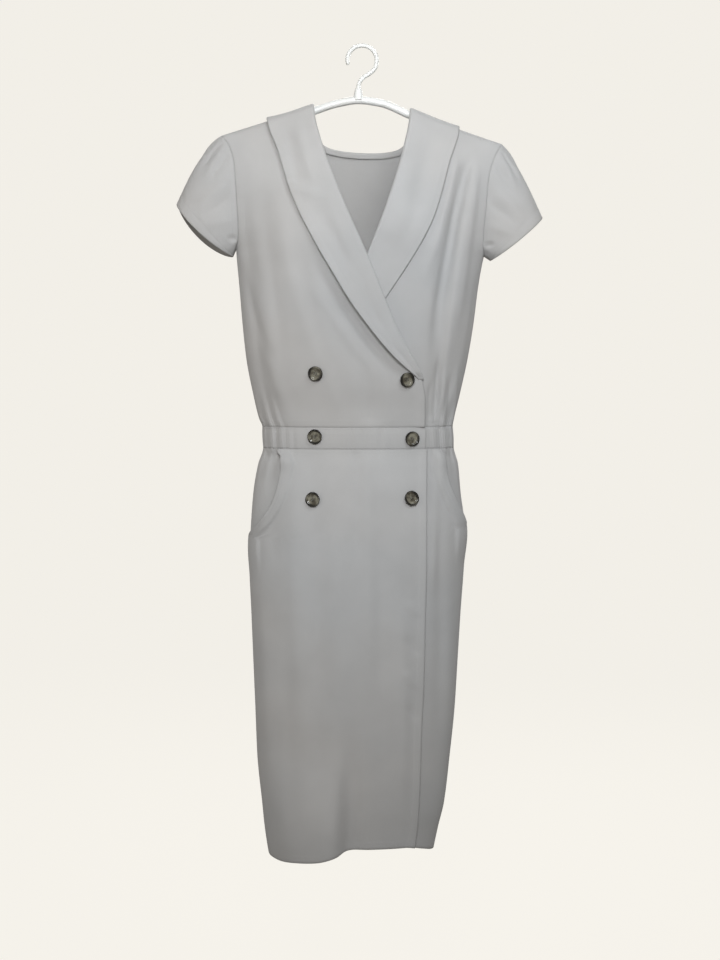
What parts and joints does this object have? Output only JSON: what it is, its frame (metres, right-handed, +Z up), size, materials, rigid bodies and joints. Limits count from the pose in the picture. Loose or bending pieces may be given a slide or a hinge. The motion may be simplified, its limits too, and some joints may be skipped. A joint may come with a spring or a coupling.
{
  "type": "blazer dress on hanger",
  "caption": "Short-sleeved wrap blazer dress in pale grey crepe with shawl lapels, elastic waist, slant pockets and horn buttons, hanging on a white plastic hanger.",
  "frame": {"origin": "inner top of the hanger's hook, where the rail carries it", "axes": "+Z up, front of the dress towards -Y, +X towards the viewer's right (the wearer's left)"},
  "size_m": [0.4976, 0.1672, 1.1116],
  "materials": {
    "crepe_cloth": "matt dove-grey crepe",
    "hanger_plastic": "white satin plastic",
    "button_horn": "dark horn, polished rim"
  },
  "bodies": {
    "root": {"hanger": "hanger_plastic", "bodice_back": "crepe_cloth", "bodice_front_right": "crepe_cloth", "bodice_front_left": "crepe_cloth", "lapel_right": "crepe_cloth", "lapel_left": "crepe_cloth", "back_neck_binding": "crepe_cloth", "sleeve_right": "crepe_cloth", "sleeve_left": "crepe_cloth", "waistband_back": "crepe_cloth", "waistband_front_right": "crepe_cloth", "waistband_front_left": "crepe_cloth", "skirt_back": "crepe_cloth", "skirt_front_right": "crepe_cloth", "skirt_front_left": "crepe_cloth", "pocket_side_right": "crepe_cloth", "pocket_side_left": "crepe_cloth", "button_top_right": "button_horn", "button_top_left": "button_horn", "button_waist_right": "button_horn", "button_waist_left": "button_horn", "button_low_right": "button_horn", "button_low_left": "button_horn"}
  },
  "joints": []
}
